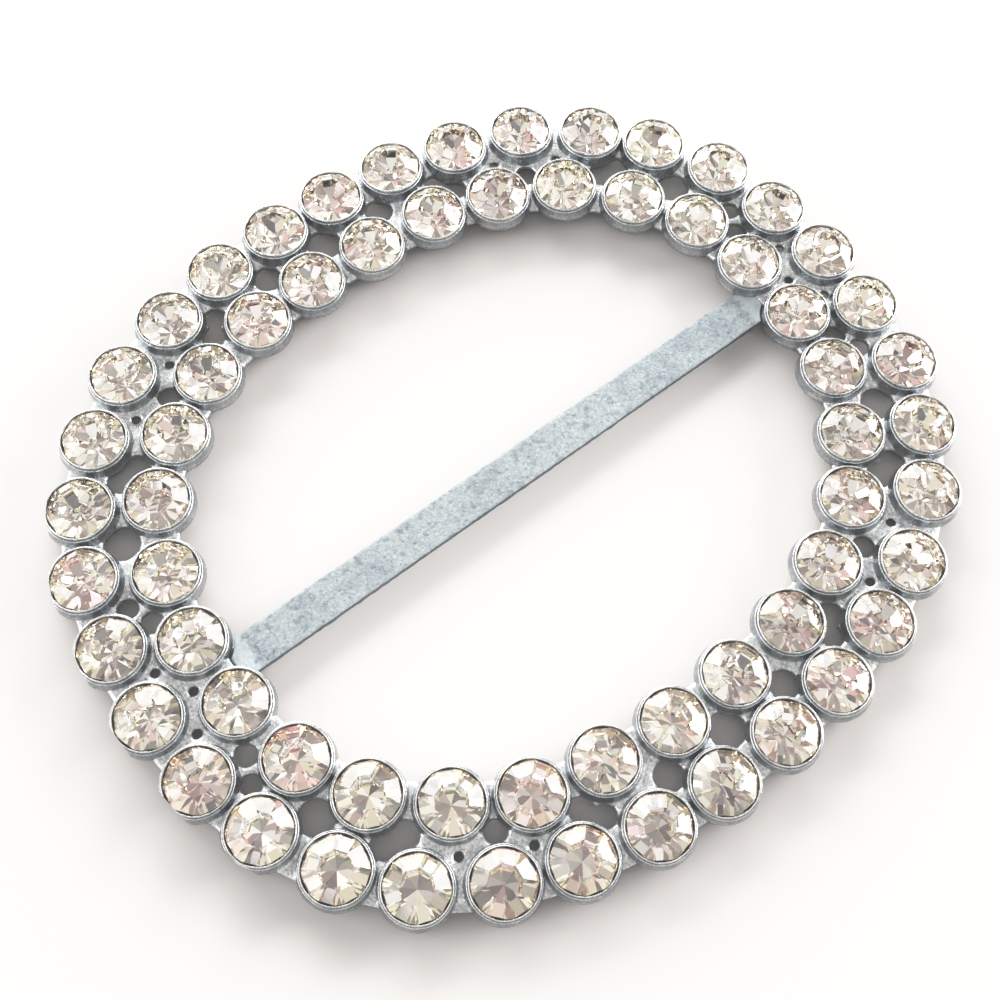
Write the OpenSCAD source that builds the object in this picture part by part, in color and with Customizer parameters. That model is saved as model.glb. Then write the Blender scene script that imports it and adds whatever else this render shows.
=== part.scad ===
// Oval scarf slide: a cast ring with two rows of round stones in cups, and a flat bar across it.
// The bar lies along X, the ring rests on its cup feet at z = 0, and the stones face up.

/* [Ring] */
// Half the length of the line midway between the two rows, along the bar
mid_half_length = 24.5; // [24.3:0.1:26]
// Half the width of the line midway between the two rows, across the bar
mid_half_width = 20.9; // [20.7:0.1:22.4]
// Fullness of the oval: 2 is an ellipse, more fills out the corners
oval_fullness = 2.35; // [2.3:0.05:2.5]
// Distance between the two rows of stones
row_spacing = 4.4; // [4.4:0.05:4.7]

/* [Stones] */
// Number of stones in the outer row, one of them at each end of the bar
outer_count = 34; // [32:2:34]
// Number of stones in the inner row, a pair on either side of each end of the bar
inner_count = 28; // [26:2:28]
// Diameter of a stone at its girdle
stone_diameter = 3.9; // [3.7:0.05:3.9]
// Height of a stone's crown, from girdle to table
crown_height = 0.62; // [0.5:0.02:0.7]
// Height of the upright band at a stone's girdle
girdle_height = 0.1; // [0.08:0.01:0.14]
// Depth of a stone's pavilion, below the girdle
pavilion_depth = 1.5; // [1.4:0.05:1.55]
// Width of the table as a share of the stone's width
table_share = 0.54; // [0.48:0.02:0.62]
// Share of the girdle that the eight main crown facets take, the corner facets having the rest
main_share = 0.66; // [0.55:0.01:0.75]

/* [Cups] */
// Height of a cup's lip above the surface that the slide rests on
lip_height = 2.1; // [2.05:0.05:2.3]
// Width of the thin lip that stands round the stone
lip_width = 0.1; // [0.08:0.01:0.11]
// Width of the step outside the lip
step_width = 0.07; // [0.05:0.01:0.08]
// Depth of that step below the lip
step_drop = 0.14; // [0.1:0.02:0.2]
// Depth of the stone's girdle below the lip
girdle_drop = 0.1; // [0.05:0.01:0.15]
// Gap between a stone and its cup
stone_gap = 0.05; // [0.04:0.01:0.08]
// Radius of the flat foot under each cup
foot_radius = 1.5; // [1.3:0.05:1.7]
// Radius of the collar where a cup meets the web
collar_radius = 2.4; // [2.38:0.01:2.44]
// Height over which the collar narrows to the cup
collar_rise = 0.3; // [0.2:0.05:0.5]

/* [Web] */
// Height of the web's upper face
web_top = 1.2; // [1.1:0.05:1.25]
// Height of the web's lower face
web_bottom = 0.6; // [0.5:0.05:0.7]
// Reach of the web beyond the centre line of each row
web_reach = 1.25; // [1:0.05:1.5]
// Radius that a pierced hole gains for each millimetre of the space between its cups
pierce_gain = 1.53; // [1.4:0.01:1.6]
// Radius taken off every pierced hole
pierce_loss = 0.49; // [0.4:0.01:0.55]
// Radius of the small vent in a space that is too narrow for a hole
vent_radius = 0.3; // [0.2:0.01:0.4]
// Spaces narrower than this have a vent
narrow_space = 0.72; // [0.65:0.01:0.74]

/* [Bar] */
// Width of the bar
bar_width = 2.6; // [2.4:0.05:2.8]
// Thickness of the bar
bar_thickness = 0.45; // [0.4:0.05:0.5]
// Gap between the bar and the ring
bar_gap = 0.05; // [0.04:0.01:0.06]
// Length of the ledge that carries the bar at each end
ledge_length = 1.6; // [1.2:0.1:2]
// Set-back of the ledge from the edges of the bar
ledge_inset = 0.3; // [0.2:0.05:0.5]

/* [Hidden] */

stone_radius = stone_diameter / 2;
bore_radius = stone_radius + stone_gap;
cup_radius = bore_radius + lip_width + step_width;
girdle_top = lip_height - girdle_drop;
girdle_bottom = girdle_top - girdle_height;
// The lip's outer edge is broken by a narrow chamfer
lip_chamfer = 0.04;
// The cup's conical seat follows the stone's pavilion at this depth below it
seat_drop = 2 * stone_gap;
seat_bottom = girdle_bottom - pavilion_depth - seat_drop;
// Cuts run past the faces that they pierce by this much
overshoot = 0.5;
// Points on the web's edges, round a cup and round a hole
edge_points = 144;
cup_points = 48;
hole_points = 32;
// Steps in which the length of a row is measured
arc_steps = 720;
// A stone has eight main facets round its table, and two girdle sides to each of them
table_sides = 8;
girdle_sides = 2 * table_sides;
// Each stone is turned from the one before by the golden angle, so that no two look alike
stone_turn = 137.5;
bar_top = web_top;
bar_bottom = bar_top - bar_thickness;
// The tongue at each end of the bar stops just short of the web
bar_half_length = mid_half_length - row_spacing / 2 - web_reach - bar_gap;
metal = [0.62, 0.65, 0.68];
bar_metal = [0.66, 0.71, 0.75];
crystal = [0.93, 0.90, 0.84];

// A point of the oval whose half-axes are a and b, at parameter angle t
function oval_point(a, b, t) = [
    a * sign(cos(t)) * pow(abs(cos(t)), 2 / oval_fullness),
    b * sign(sin(t)) * pow(abs(sin(t)), 2 / oval_fullness)
];

// Pairs of length along the oval and parameter angle, once round
function arc_table(a, b) =
    let (p = [for (i = [0:arc_steps]) oval_point(a, b, i * 360 / arc_steps)])
    [for (i = 0, s = 0; i <= arc_steps; s = s + (i < arc_steps ? norm(p[i + 1] - p[i]) : 0), i = i + 1)
        [s, i * 360 / arc_steps]];

// Centres of the stones of a row, at even steps along it; phase is a share of one step
function row_centres(offset_out, count, phase) =
    let (
        a = mid_half_length + offset_out,
        b = mid_half_width + offset_out,
        table = arc_table(a, b),
        total = table[arc_steps][0]
    )
    [for (k = [0:count - 1]) oval_point(a, b, lookup((k + phase) / count * total, table))];

outer_centres = row_centres(row_spacing / 2, outer_count, 0);
inner_centres = row_centres(-row_spacing / 2, inner_count, 0.5);
all_centres = concat(outer_centres, inner_centres);

// Centre of the circle through three points
function circle_centre(p, q, r) =
    let (
        d = 2 * (p.x * (q.y - r.y) + q.x * (r.y - p.y) + r.x * (p.y - q.y)),
        pp = p * p,
        qq = q * q,
        rr = r * r
    )
    [
        (pp * (q.y - r.y) + qq * (r.y - p.y) + rr * (p.y - q.y)) / d,
        (pp * (r.x - q.x) + qq * (p.x - r.x) + rr * (q.x - p.x)) / d
    ];

// The point of a list that lies nearest to p
function nearest(p, list) =
    let (gaps = [for (q = list) norm(q - p)])
    list[search(min(gaps), gaps)[0]];

// Centres of the spaces between each two neighbours of one row and the nearest cup of the other
function space_centres(row, other) = [
    for (k = [0:len(row) - 1])
        let (p = row[k], q = row[(k + 1) % len(row)])
        circle_centre(p, q, nearest((p + q) / 2, other))
];

// Radius of the circle round c that just clears the cups, and of the hole that is pierced there
function clear_radius(c) = norm(nearest(c, all_centres) - c) - cup_radius;
function hole_radius(c) =
    let (clear = clear_radius(c))
    clear < narrow_space ? vent_radius : pierce_gain * clear - pierce_loss;

outer_spaces = space_centres(outer_centres, inner_centres);
inner_spaces = space_centres(inner_centres, outer_centres);
// A space that both rows share is pierced once
lone_inner_spaces = [for (c = inner_spaces) if (norm(nearest(c, outer_spaces) - c) > row_spacing / 4) c];
pierced_spaces = concat(outer_spaces, lone_inner_spaces);

module oval_plate(reach, z0, z1) {
    points = [for (i = [0:edge_points - 1])
        oval_point(mid_half_length + reach, mid_half_width + reach, i * 360 / edge_points)];
    translate([0, 0, z0]) linear_extrude(z1 - z0) polygon(points);
}

module at_centres(centres) {
    for (c = centres) translate([c.x, c.y, 0]) children();
}

// Solid outer form of one cup: a tapered foot, an upright wall, a step and a thin lip
module cup_body() {
    rotate_extrude($fn = cup_points) polygon([
        [0, 0],
        [foot_radius, 0],
        [cup_radius, web_bottom + (web_top - web_bottom) / 2],
        [cup_radius, lip_height - step_drop],
        [bore_radius + lip_width, lip_height - step_drop],
        [bore_radius + lip_width, lip_height - lip_chamfer],
        [bore_radius + lip_width - lip_chamfer, lip_height],
        [0, lip_height]
    ]);
}

// Collar that spreads each cup into the web
module collar() {
    rotate_extrude($fn = cup_points) polygon([
        [0, web_bottom],
        [collar_radius, web_bottom],
        [collar_radius, web_top],
        [cup_radius, web_top + collar_rise],
        [0, web_top + collar_rise]
    ]);
}

// Space inside one cup: a straight bore at the lip and a cone that follows the pavilion
module cup_hollow() {
    rotate_extrude($fn = cup_points) polygon([
        [0, seat_bottom],
        [bore_radius, girdle_bottom - seat_drop],
        [bore_radius, lip_height + overshoot],
        [0, lip_height + overshoot]
    ]);
}

module web() {
    difference() {
        oval_plate(row_spacing / 2 + web_reach, web_bottom, web_top);
        oval_plate(-row_spacing / 2 - web_reach, web_bottom - overshoot, web_top + overshoot);
    }
}

module pierced_holes() {
    cut = web_top + collar_rise - web_bottom + 2 * overshoot;
    for (c = pierced_spaces)
        translate([c.x, c.y, web_bottom - overshoot])
            cylinder(r = hole_radius(c), h = cut, $fn = hole_points);
}

// Ledges under the two ends of the bar, each rooted between a pair of inner cups
module ledges() {
    root = bar_half_length + row_spacing / 2;
    height = bar_bottom - bar_gap;
    breadth = bar_width - 2 * ledge_inset;
    for (turn = [0, 180])
        rotate([0, 0, turn]) translate([bar_half_length - ledge_length, -breadth / 2, 0])
            cube([root - bar_half_length + ledge_length, breadth, height]);
}

module frame() {
    color(metal)
    difference() {
        union() {
            difference() {
                union() {
                    web();
                    at_centres(all_centres) collar();
                }
                pierced_holes();
            }
            at_centres(all_centres) cup_body();
            ledges();
        }
        at_centres(all_centres) cup_hollow();
    }
}

module cross_bar() {
    color(bar_metal)
    difference() {
        translate([-bar_half_length, -bar_width / 2, bar_bottom])
            cube([2 * bar_half_length, bar_width, bar_thickness]);
        at_centres(inner_centres)
            translate([0, 0, bar_bottom - overshoot])
                cylinder(r = collar_radius + bar_gap, h = bar_thickness + 2 * overshoot, $fn = cup_points);
    }
}

// One cut stone: table, main and corner crown facets in turn, girdle and pavilion
module stone() {
    side = 360 / table_sides;
    function ring(radius, z, angles) = [for (t = angles) [radius * cos(t), radius * sin(t), z]];
    table_angles = [for (i = [0:table_sides - 1]) (i - 0.5) * side];
    girdle_angles = [for (i = [0:table_sides - 1], end = [-0.5, 0.5]) (i + end * main_share) * side];
    upper_at = table_sides;
    lower_at = upper_at + girdle_sides;
    culet_at = lower_at + girdle_sides;
    points = concat(
        ring(stone_radius * table_share, girdle_top + crown_height, table_angles),
        ring(stone_radius, girdle_top, girdle_angles),
        ring(stone_radius, girdle_bottom, girdle_angles),
        [[0, 0, girdle_bottom - pavilion_depth]]
    );
    table = [[for (i = [table_sides - 1:-1:0]) i]];
    mains = [for (i = [0:table_sides - 1])
        [i, (i + 1) % table_sides, upper_at + 2 * i + 1, upper_at + 2 * i]];
    corners = [for (i = [0:table_sides - 1])
        [(i + 1) % table_sides, upper_at + (2 * i + 2) % girdle_sides, upper_at + 2 * i + 1]];
    girdle = [for (i = [0:girdle_sides - 1])
        let (next = (i + 1) % girdle_sides)
        [upper_at + i, upper_at + next, lower_at + next, lower_at + i]];
    pavilion = [for (i = [0:girdle_sides - 1])
        [lower_at + i, lower_at + (i + 1) % girdle_sides, culet_at]];
    polyhedron(points = points, faces = concat(table, mains, corners, girdle, pavilion));
}

module stone_row(centres) {
    for (k = [0:len(centres) - 1])
        translate([centres[k].x, centres[k].y, 0]) rotate([0, 0, k * stone_turn]) stone();
}

module outer_stones() {
    color(crystal) stone_row(outer_centres);
}

module inner_stones() {
    color(crystal) stone_row(inner_centres);
}

frame();
cross_bar();
outer_stones();
inner_stones();
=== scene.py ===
"""Oval scarf slide, dressed for rendering.

A pierced casting holds two rows of cut stones in cups, and a flat bar crosses it. Every size is in
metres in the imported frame: the bar lies along X and the ring rests on z = 0.
"""

import math

import bmesh
import bpy
import numpy as np
from bpy.props import FloatProperty, FloatVectorProperty, IntProperty, PointerProperty
from mathutils import Matrix, Vector, noise


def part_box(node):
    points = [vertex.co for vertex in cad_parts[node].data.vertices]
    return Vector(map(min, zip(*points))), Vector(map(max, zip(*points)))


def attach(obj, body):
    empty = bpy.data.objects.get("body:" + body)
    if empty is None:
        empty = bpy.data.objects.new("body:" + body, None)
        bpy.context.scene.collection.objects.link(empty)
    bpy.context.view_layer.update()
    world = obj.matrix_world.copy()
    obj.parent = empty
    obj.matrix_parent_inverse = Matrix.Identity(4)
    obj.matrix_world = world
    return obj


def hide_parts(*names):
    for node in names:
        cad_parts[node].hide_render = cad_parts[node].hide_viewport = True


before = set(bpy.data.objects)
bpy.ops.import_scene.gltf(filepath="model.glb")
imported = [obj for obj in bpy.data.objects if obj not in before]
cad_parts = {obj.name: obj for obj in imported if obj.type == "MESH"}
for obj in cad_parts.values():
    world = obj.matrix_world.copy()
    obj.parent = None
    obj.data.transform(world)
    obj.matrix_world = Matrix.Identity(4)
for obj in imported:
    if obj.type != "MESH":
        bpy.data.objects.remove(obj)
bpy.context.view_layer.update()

bl_info = {
    "name": "Scarf slide",
    "version": (1, 0, 0),
    "blender": (4, 5, 0),
    "location": "3D View > Sidebar > Scarf slide",
    "description": "Builds the cups, web, bar and cut stones of an oval scarf slide on its CAD frame",
    "category": "Add Mesh",
}

MM = 0.001
# The rows of stones, with the side of the ring that each one leans to
STONE_ROWS = {"outer_stones": 1.0, "inner_stones": -1.0}


# Settings

def millimetres(name, value, description):
    return FloatProperty(name=name, description=description, default=value * MM, unit="LENGTH")


def metres(name, value, description):
    return FloatProperty(name=name, description=description, default=value, unit="LENGTH")


def degrees(name, value, description):
    return FloatProperty(name=name, description=description, default=math.radians(value), unit="ROTATION")


def plain_number(name, value, description, **limits):
    return FloatProperty(name=name, description=description, default=value, **limits)


def whole_number(name, value, description, **limits):
    return IntProperty(name=name, description=description, default=value, **limits)


def rgb(name, value, description):
    return FloatVectorProperty(
        name=name, description=description, default=value, subtype="COLOR", min=0, max=1)


def point(name, value, description):
    """A place given in millimetres."""
    place = tuple(c * MM for c in value)
    return FloatVectorProperty(name=name, description=description, default=place, subtype="TRANSLATION")


class CupSettings(bpy.types.PropertyGroup):
    """Sizes of the cups that hold the stones"""

    radius: millimetres("Radius", 2.20, "Outer radius at the shoulder under the lip")
    flare: millimetres("Flare", 2.35, "Outer radius where the wall meets the web")
    bore: millimetres("Bore", 2.0, "Inner radius at the lip")
    lip: millimetres("Lip", 0.085, "Width of the thin lip round the stone")
    height: millimetres("Height", 2.1, "Height of the lip above the floor")
    foot: millimetres("Foot", 1.5, "Radius of the flat foot")
    segments: whole_number("Segments", 48, "Flat steps round each cup", min=12)
    lean: degrees("Lean", 1.4, "Tilt of each row away from the other")
    unevenness: degrees("Unevenness", 1.3, "Largest chance tilt of a cup with its stone")
    stray: millimetres("Stray", 0.13, "Most that a cup stands off its even step, along X and along Y")
    skin: millimetres("Skin", 0.075, "Depth of the waviness of the cast wall")
    gate_bearing: degrees("Gate bearing", 168, "Bearing of the side where the casting gates were cut off")
    gate_spread: degrees("Gate spread", 42, "Bearing to either side within which gates were cut off")
    gate_reach: millimetres("Gate reach", 2.02, "Distance from a cup's centre to the flat of a cut gate")
    colour: rgb("Colour", (0.335, 0.357, 0.372), "Colour of the dull plated walls")
    # Also the colour of the painted highlights on each cup's shoulder step and flare
    worn_colour: rgb("Worn colour", (0.90, 0.92, 0.93), "Colour of the lip and of edges rubbed bright")


class WebSettings(bpy.types.PropertyGroup):
    """Sizes of the pierced web between the cups"""

    top: millimetres("Top", 1.2, "Height of the web's upper face")
    bottom: millimetres("Bottom", 0.6, "Height of the web's lower face")
    half_length: millimetres("Half length", 24.5, "Half the length of the line midway between the rows")
    half_width: millimetres("Half width", 20.9, "Half the width of the line midway between the rows")
    reach: millimetres("Reach", 3.45, "Distance from the line midway to either edge of the web")
    fullness: plain_number("Fullness", 2.35, "Exponent of the oval: 2 is an ellipse", min=2)
    plain_cup: millimetres("Plain cup", 2.17, "Cup radius that the spaces between cups are measured from")
    gain: plain_number("Hole gain", 1.53, "Growth of a hole's radius with the space it lies in", min=0)
    loss: millimetres("Hole loss", 0.49, "Radius taken off every hole")
    vent: millimetres("Vent", 0.3, "Radius of the small vent in a space too narrow for a hole")
    narrow: millimetres("Narrow space", 0.72, "Spaces narrower than this have a vent")
    fillet: millimetres("Fillet", 0.42, "Softness of the corner where a cup rises out of the web")
    grain: millimetres("Grain", 0.06, "Depth of the roughness of the cast face")
    voxel: millimetres("Voxel", 0.175, "Step of the grid that the web is cut from")
    colour: rgb("Colour", (0.77, 0.815, 0.84), "Colour of the rough cast face")


class BarSettings(bpy.types.PropertyGroup):
    """Sizes of the flat bar across the ring"""

    width: millimetres("Width", 2.6, "Width of the bar")
    step: millimetres("Step", 0.13, "Distance between the bar's cross sections")
    face_points: whole_number("Face points", 21, "Points across each flat face", min=2)
    clearance: millimetres("Clearance", 2.33, "Distance from a cup's centre to the bar's scooped end")
    burr: millimetres("Burr", 0.06, "Unevenness of the sheared edges")
    wave: millimetres("Wave", 0.012, "Unevenness of the flat faces")
    colour: rgb("Colour", (0.42, 0.475, 0.50), "Colour of the dull plated face")


class StoneSettings(bpy.types.PropertyGroup):
    """Sizes of the cut stones"""

    radius: millimetres("Radius", 1.95, "Radius at the girdle")
    girdle: millimetres("Girdle", 2.0, "Height of the girdle's upper edge above the floor")
    girdle_height: millimetres("Girdle height", 0.1, "Height of the upright band")
    table: plain_number("Table", 0.54, "Share of the stone's width that the table takes", min=0.3, max=0.8)
    main: plain_number(
        "Main facets", 0.74, "Share of the girdle that the main crown facets take", min=0.4, max=0.9)
    pavilion_main: plain_number(
        "Pavilion mains", 0.5, "Share of the girdle that the long pavilion facets take", min=0.1, max=0.9)
    pavilion_break: plain_number(
        "Pavilion break", 0.45, "Share of the radius at which the break facets end", min=0.1, max=0.9)
    sides: whole_number("Sides", 8, "Number of main facets round the table", min=6)
    refraction: plain_number("Refraction", 1.56, "Refractive index of the glass", min=1)
    seed: whole_number("Seed", 7, "Chooses the turn of each stone and the tint of each facet")


class StageSettings(bpy.types.PropertyGroup):
    """Camera, floor and light. Bearings run from +Y towards +X."""

    eye: point("Eye", (-24.88, -25.72, 81.86), "Place of the camera")
    aim: point("Aim", (-2.10, -1.39, 2.00), "Point that the camera looks at")
    roll: degrees("Roll", -6.0, "Turn of the camera about its own axis")
    lens: plain_number("Lens", 50.04, "Focal length in millimetres, on a 36 mm wide sensor", min=1)
    key_power: plain_number("Key power", 26.0, "Power of the window-like key light, in watts", min=0)
    key_width: metres("Key width", 1.3, "Width of the key light")
    key_bearing: degrees("Key bearing", 20, "Bearing of the key light")
    key_height: degrees("Key height", 20, "Elevation of the key light")
    side_power: plain_number("Side power", 22.0, "Power of the light from the right, in watts", min=0)
    side_width: metres("Side width", 0.8, "Width of the side light")
    side_bearing: degrees("Side bearing", 105, "Bearing of the side light")
    side_height: degrees("Side height", 14, "Elevation of the side light")
    fill_power: plain_number("Fill power", 7.0, "Power of the light that softens shadows, in watts", min=0)
    fill_width: metres("Fill width", 0.8, "Width of the fill light")
    fill_bearing: degrees("Fill bearing", -55, "Bearing of the fill light")
    fill_height: degrees("Fill height", 22, "Elevation of the fill light")
    lamp_rise: metres("Lamp rise", 0.5, "Height of each light's own face")
    lamp_distance: metres("Lamp distance", 1.0, "Distance of each light from the middle of the ring")
    surround: plain_number("Surround", 1.3, "Brightness of the room round the stage", min=0)
    floor_width: metres("Floor width", 1.5, "Width of the floor, which ends before the lamps' light does")
    floor_colour: rgb("Floor colour", (0.925, 0.89, 0.865), "Colour of the plain pale floor")


# Node trees

class Nodes:
    """Short calls for building a node tree. Each adds a node and gives back what it puts out."""

    def __init__(self, tree):
        self.tree = tree

    def add(self, kind, inputs=None, **settings):
        node = self.tree.nodes.new(kind)
        for name, value in settings.items():
            setattr(node, name, value)
        for key, value in (inputs or {}).items():
            self.feed(self.find(node.inputs, key), value)
        return node

    def feed(self, socket, value):
        """Links a socket to another one, or sets it to a plain value."""
        if isinstance(value, bpy.types.NodeSocket):
            self.tree.links.new(value, socket)
        else:
            socket.default_value = value

    @staticmethod
    def find(sockets, key):
        """The socket in use that has this name, or this place in the list."""
        if isinstance(key, int):
            return sockets[key]
        return next(s for s in sockets if s.enabled and s.name == key)

    def out(self, kind, inputs=None, take=None, **settings):
        node = self.add(kind, inputs, **settings)
        if take is not None:
            return self.find(node.outputs, take)
        return next(s for s in node.outputs if s.enabled)

    def math(self, operation, *values):
        return self.out("ShaderNodeMath", dict(enumerate(values)), operation=operation)

    def plus(self, a, b):
        return self.math("ADD", a, b)

    def minus(self, a, b):
        return self.math("SUBTRACT", a, b)

    def times(self, a, b):
        return self.math("MULTIPLY", a, b)

    def vector(self, operation, *values, take=None):
        return self.out("ShaderNodeVectorMath", dict(enumerate(values)), take, operation=operation)

    def along(self, vector, way):
        """How far a vector reaches along a way of length one."""
        return self.vector("DOT_PRODUCT", vector, way, take="Value")

    def scaled(self, vector, factor):
        return self.out("ShaderNodeVectorMath", {"Vector": vector, "Scale": factor}, operation="SCALE")

    def split(self, vector):
        return self.add("ShaderNodeSeparateXYZ", {"Vector": vector}).outputs

    def joined(self, x, y, z):
        return self.out("ShaderNodeCombineXYZ", {"X": x, "Y": y, "Z": z})

    def attribute(self, name, data_type="FLOAT"):
        return self.out("GeometryNodeInputNamedAttribute", {"Name": name}, data_type=data_type)

    def stored(self, geometry, name, value, data_type, domain):
        return self.out("GeometryNodeStoreNamedAttribute", {
            "Geometry": geometry, "Name": name, "Value": value}, data_type=data_type, domain=domain)

    def chance(self, low, high, seed, number=None, data_type="FLOAT"):
        """A random value for each thing, by its number, or by its place in the list."""
        own = {} if number is None else {"ID": number}
        return self.out("FunctionNodeRandomValue", {
            "Min": low, "Max": high, "Seed": seed, **own}, data_type=data_type)


def new_geometry_tree(name, numbers, others):
    """A geometry tree whose inputs are the numbers named and others, as {name: kind of socket}."""
    tree = bpy.data.node_groups.new(name, "GeometryNodeTree")
    for label, kind in {"Geometry": "Geometry", **dict.fromkeys(numbers, "Float"), **others}.items():
        tree.interface.new_socket(label, in_out="INPUT", socket_type="NodeSocket" + kind)
    tree.interface.new_socket("Geometry", in_out="OUTPUT", socket_type="NodeSocketGeometry")
    nodes = Nodes(tree)
    return tree, nodes, nodes.add("NodeGroupInput").outputs


def stand(nodes, pattern, points, rotation):
    """Stands a copy of the pattern object on every point."""
    shape = nodes.out("GeometryNodeObjectInfo", {"Object": pattern}, take="Geometry")
    copies = nodes.out("GeometryNodeInstanceOnPoints", {
        "Points": points, "Instance": shape, "Rotation": rotation})
    return nodes.out("GeometryNodeRealizeInstances", {"Geometry": copies})


def end_tree(nodes, geometry, material, backing=None):
    """Realizes what the tree made and gives it its material, and another to the faces flagged "foiled"."""
    whole = nodes.out("GeometryNodeRealizeInstances", {"Geometry": geometry})
    whole = nodes.out("GeometryNodeSetMaterial", {"Geometry": whole, "Material": material})
    if backing is not None:
        foiled = nodes.attribute("foiled", "BOOLEAN")
        whole = nodes.out("GeometryNodeSetMaterial", {
            "Geometry": whole, "Selection": foiled, "Material": backing})
    nodes.add("NodeGroupOutput", {0: whole})


def by_name(settings, names):
    """The values of the settings that have these names, for the tree inputs of the same names."""
    return {p.name: getattr(settings, p.identifier) for p in settings.bl_rna.properties if p.name in names}


def put(name, data):
    """Adds an object to the scene."""
    thing = bpy.data.objects.new(name, data)
    bpy.context.scene.collection.objects.link(thing)
    return thing


def grow(name, source, tree, values):
    """Runs a geometry tree on a mesh and keeps the result as a plain mesh object called name."""
    host = put(name + "_source", source)
    modifier = host.modifiers.new("Nodes", "NODES")
    modifier.node_group = tree
    inputs = {item.name: item.identifier for item in tree.interface.items_tree if item.in_out == "INPUT"}
    for label, value in values.items():
        modifier[inputs[label]] = value
    graph = bpy.context.evaluated_depsgraph_get()
    mesh = bpy.data.meshes.new_from_object(
        host.evaluated_get(graph), preserve_all_data_layers=True, depsgraph=graph)
    host.modifiers.remove(modifier)
    bpy.data.objects.remove(host)
    mesh.name = name
    if not mesh.polygons:
        raise RuntimeError(f"{name} came out of its node tree with no faces")
    return put(name, mesh)


def keep(piece, slot, *nodes):
    """Hides the CAD nodes that a piece stands for and hangs it on the root body. The slot is not used."""
    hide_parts(*nodes)
    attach(piece, "root")


def new_mesh(name, corners, faces=()):
    mesh = bpy.data.meshes.new(name)
    mesh.from_pydata(corners, [], faces)
    return mesh


def store(mesh, label, values, domain="POINT"):
    """Stores a flag, a number or a vector for each point or face of a mesh."""
    values = np.asarray(values)
    kind = "BOOLEAN" if values.dtype == bool else "FLOAT_VECTOR" if values.ndim == 2 else "FLOAT"
    field = "vector" if kind == "FLOAT_VECTOR" else "value"
    mesh.attributes.new(label, kind, domain).data.foreach_set(field, values.ravel().tolist())


# Places read from the CAD frame

def loose_centres(node):
    """Centres of a CAD node's loose parts in plan, in order round the ring."""
    copy = bmesh.new()
    copy.from_mesh(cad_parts[node].data)
    bmesh.ops.remove_doubles(copy, verts=copy.verts, dist=1e-6)
    unseen, centres = set(copy.verts), []
    while unseen:
        reached = [unseen.pop()]
        for vertex in reached:
            for edge in vertex.link_edges:
                other = edge.other_vert(vertex)
                if other in unseen:
                    unseen.remove(other)
                    reached.append(other)
        corners = np.array([v.co for v in reached])
        centres.append((corners.min(0) + corners.max(0)) / 2)
    copy.free()
    centres.sort(key=lambda c: math.atan2(c[1], c[0]) % math.tau)
    return np.array(centres)[:, :2]


def cup_centres(node, cups):
    """A row's cups: at the CAD stones, but each a little off its even step, as on a hand-made master."""
    even = loose_centres(node)
    chance = np.array([noise.cell_vector(Vector((x, y, 0)) / MM)[:2] for x, y in even])
    return even + (2 * chance - 1) * cups.stray


def circle_centre(p, q, r):
    """Centre of the circle through three points."""
    rows = 2 * np.array([q - p, r - p])
    return np.linalg.solve(rows, [q @ q - p @ p, r @ r - p @ p])


def pierced_spaces(rows, web):
    """Centre and radius of each hole, between two neighbours of a row and the nearest other cup."""
    everyone = np.concatenate(rows)
    spaces = []
    for row, other in (rows, rows[::-1]):
        for k, p in enumerate(row):
            q = row[(k + 1) % len(row)]
            nearest = other[np.argmin(np.linalg.norm(other - (p + q) / 2, axis=1))]
            centre = circle_centre(p, q, nearest)
            if any(np.linalg.norm(centre - c) < web.plain_cup / 2 for c, _ in spaces):
                continue
            clear = np.linalg.norm(everyone - centre, axis=1).min() - web.plain_cup
            spaces.append((centre, web.vent if clear < web.narrow else web.gain * clear - web.loss))
    return spaces


def point_mesh(name, points, numbers):
    """A mesh of bare points at z = 0 that carry these numbers, given as {name: one value for each point}."""
    mesh = new_mesh(name, [(x, y, 0) for x, y in points])
    for label, values in numbers.items():
        store(mesh, label, values)
    return mesh


def cup_places(cups, web):
    """The points for cups and stones, with their row, their number and their way out of the ring."""
    rows = [cup_centres(node, cups) for node in STONE_ROWS]
    points = np.concatenate(rows)
    sides = np.repeat(list(STONE_ROWS.values()), [len(row) for row in rows])
    across = np.abs(points) ** (web.fullness - 1) * np.sign(points)
    across /= np.array([web.half_length, web.half_width]) ** web.fullness
    outward = np.zeros((len(points), 3))
    outward[:, :2] = across / np.linalg.norm(across, axis=1)[:, None]
    return points, {"side": sides, "number": np.arange(len(points)), "outward": outward}


# Metals and glass

def new_material(name):
    material = bpy.data.materials.new(name)
    material.use_nodes = True
    tree = material.node_tree
    tree.nodes.clear()
    nodes = Nodes(tree)
    shader = nodes.add("ShaderNodeBsdfPrincipled")
    nodes.add("ShaderNodeOutputMaterial", {"Surface": shader.outputs["BSDF"]})
    return material, nodes, shader


def set_inputs(nodes, shader, **inputs):
    """Sets or links the shader's own sockets, named in lower case with underscores."""
    sockets = {s.name.lower().replace(" ", "_"): s for s in shader.inputs}
    for label, value in inputs.items():
        nodes.feed(sockets[label], value)


def object_place(nodes):
    return nodes.out("ShaderNodeTexCoord", take="Object")


def own_number(nodes, label):
    """The number that the piece's mesh carries under this name."""
    return nodes.out("ShaderNodeAttribute", take="Fac", attribute_name=label)


def speckle(nodes, place, per_mm, detail, roughness, take="Fac"):
    """Smooth noise with this many waves a millimetre."""
    return nodes.out("ShaderNodeTexNoise", {
        "Vector": place, "Scale": per_mm / MM, "Detail": detail, "Roughness": roughness}, take)


def cells(nodes, place, scale, take):
    """Cells of one size: the chance colour of each, or the distance from its middle."""
    return nodes.out("ShaderNodeTexVoronoi", {"Vector": place, "Scale": scale}, take, feature="F1")


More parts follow.
